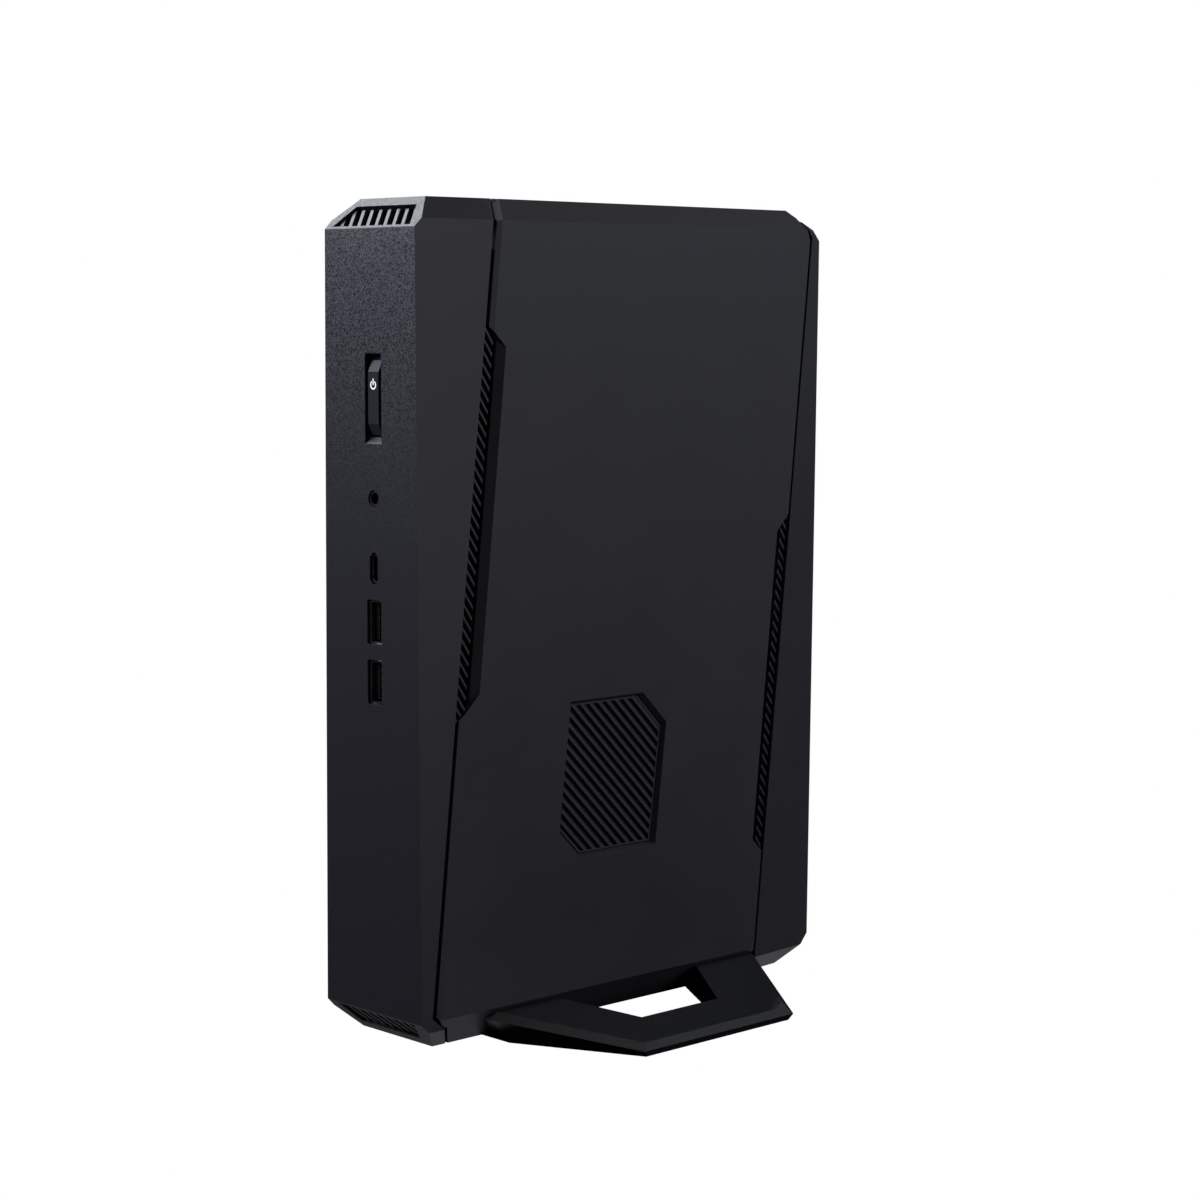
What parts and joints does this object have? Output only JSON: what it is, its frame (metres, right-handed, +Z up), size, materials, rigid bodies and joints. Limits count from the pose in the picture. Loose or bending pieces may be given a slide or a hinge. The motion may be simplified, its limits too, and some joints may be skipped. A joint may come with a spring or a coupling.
{
  "type": "mini pc",
  "caption": "Slim upright mini PC on a low octagonal stand, with a front column of sockets and a power button, slatted side vents and a fan grille.",
  "frame": {"origin": "on the table, under the middle of the casing", "axes": "+Z up; the narrow side with the power button and sockets faces -Y; +X is to the right when that side is looked at"},
  "size_m": [0.1326, 0.1784, 0.2655],
  "materials": {
    "front_shell": "moulded, fine speckled grain, dark grey",
    "rear_shell": "moulded, fine grain, dark grey",
    "side_panel": "moulded, fine satin grain, dark slate grey",
    "cover": "moulded, fine satin grain, dark slate grey",
    "vent": "moulded, satin, grey",
    "louvre": "moulded, satin, dark grey",
    "grille": "moulded, satin, dark grey",
    "filter": "fine woven dust mesh, black",
    "stand": "moulded, satin, near black",
    "pads": "matte, black",
    "black_screw": "blackened steel",
    "screw": "plated steel",
    "button": "satin moulded, dark grey",
    "lens": "translucent white light guide",
    "socket_plastic": "moulded, black",
    "socket_shell": "stamped, plated steel",
    "tongue": "black moulding with plated contacts",
    "port_plate": "stamped sheet, blackened",
    "chassis": "stamped sheet, plated",
    "board": "laminate, dark solder mask",
    "die": "dark package",
    "cell": "plated steel can",
    "copper": "bare copper, brushed",
    "fins": "folded sheet",
    "blower": "moulded, black",
    "impeller": "moulded, black",
    "antenna": "thin printed film on foam"
  },
  "bodies": {
    "casing": {"audio_jack": "socket_plastic", "board_screws": "screw", "bottom_cover": "cover", "bottom_front_vent": "vent", "case_screws": "black_screw", "chassis_plate": "chassis", "coin_cell": "cell", "cold_plate": "copper", "cpu_package": "die", "dc_jack": "socket_plastic", "ethernet_jack": "socket_shell", "fin_stack": "fins", "front_bezel": "front_shell", "front_io_board": "board", "front_usb_a_lower_shell": "socket_shell", "front_usb_a_lower_tongue": "tongue", "front_usb_a_upper_shell": "socket_shell", "front_usb_a_upper_tongue": "tongue", "front_usb_c_shell": "socket_shell", "front_usb_c_tongue": "tongue", "gpu_package": "die", "hdmi_port": "socket_shell", "heat_pipes": "copper", "left_blower_cover": "blower", "left_blower_tray": "blower", "left_dust_filter": "filter", "left_fan_stator": "blower", "left_front_louvre": "louvre", "left_intake_grille": "grille", "left_rear_louvre": "louvre", "left_side_panel": "side_panel", "memory_modules": "board", "memory_sockets": "socket_plastic", "motherboard": "board", "power_switch": "socket_plastic", "rear_port_plate": "port_plate", "rear_shell": "rear_shell", "rear_usb_a_lower": "socket_shell", "rear_usb_a_upper": "socket_shell", "right_blower_cover": "blower", "right_blower_tray": "blower", "right_dust_filter": "filter", "right_fan_stator": "blower", "right_front_louvre": "louvre", "right_intake_grille": "grille", "right_rear_louvre": "louvre", "right_side_panel": "side_panel", "ssd_module": "board", "stand_base": "stand", "stand_pads": "pads", "stand_screws": "black_screw", "top_cover": "cover", "top_front_vent": "vent", "wifi_antennas": "antenna", "wifi_card": "board"},
    "button": {"power_button": "button", "power_icon_lens": "lens", "switch_plunger": "socket_plastic"},
    "right_fan": {"right_impeller": "impeller"},
    "left_fan": {"left_impeller": "impeller"}
  },
  "joints": [
    {"name": "button_press", "type": "slide", "parent": "casing", "child": "button", "axis": [0, 1, 0], "range_m": [0, 0.0008], "stiffness_N_per_m": 1200, "springref_m": -0.0005},
    {"name": "right_fan_spin", "type": "hinge", "parent": "casing", "child": "right_fan", "pos_m": [0.014, -0.00795, 0.0808], "axis": [1, 0, 0], "continuous": true},
    {"name": "left_fan_spin", "type": "hinge", "parent": "casing", "child": "left_fan", "pos_m": [-0.0126, -0.00795, 0.0808], "axis": [1, 0, 0], "continuous": true}
  ]
}
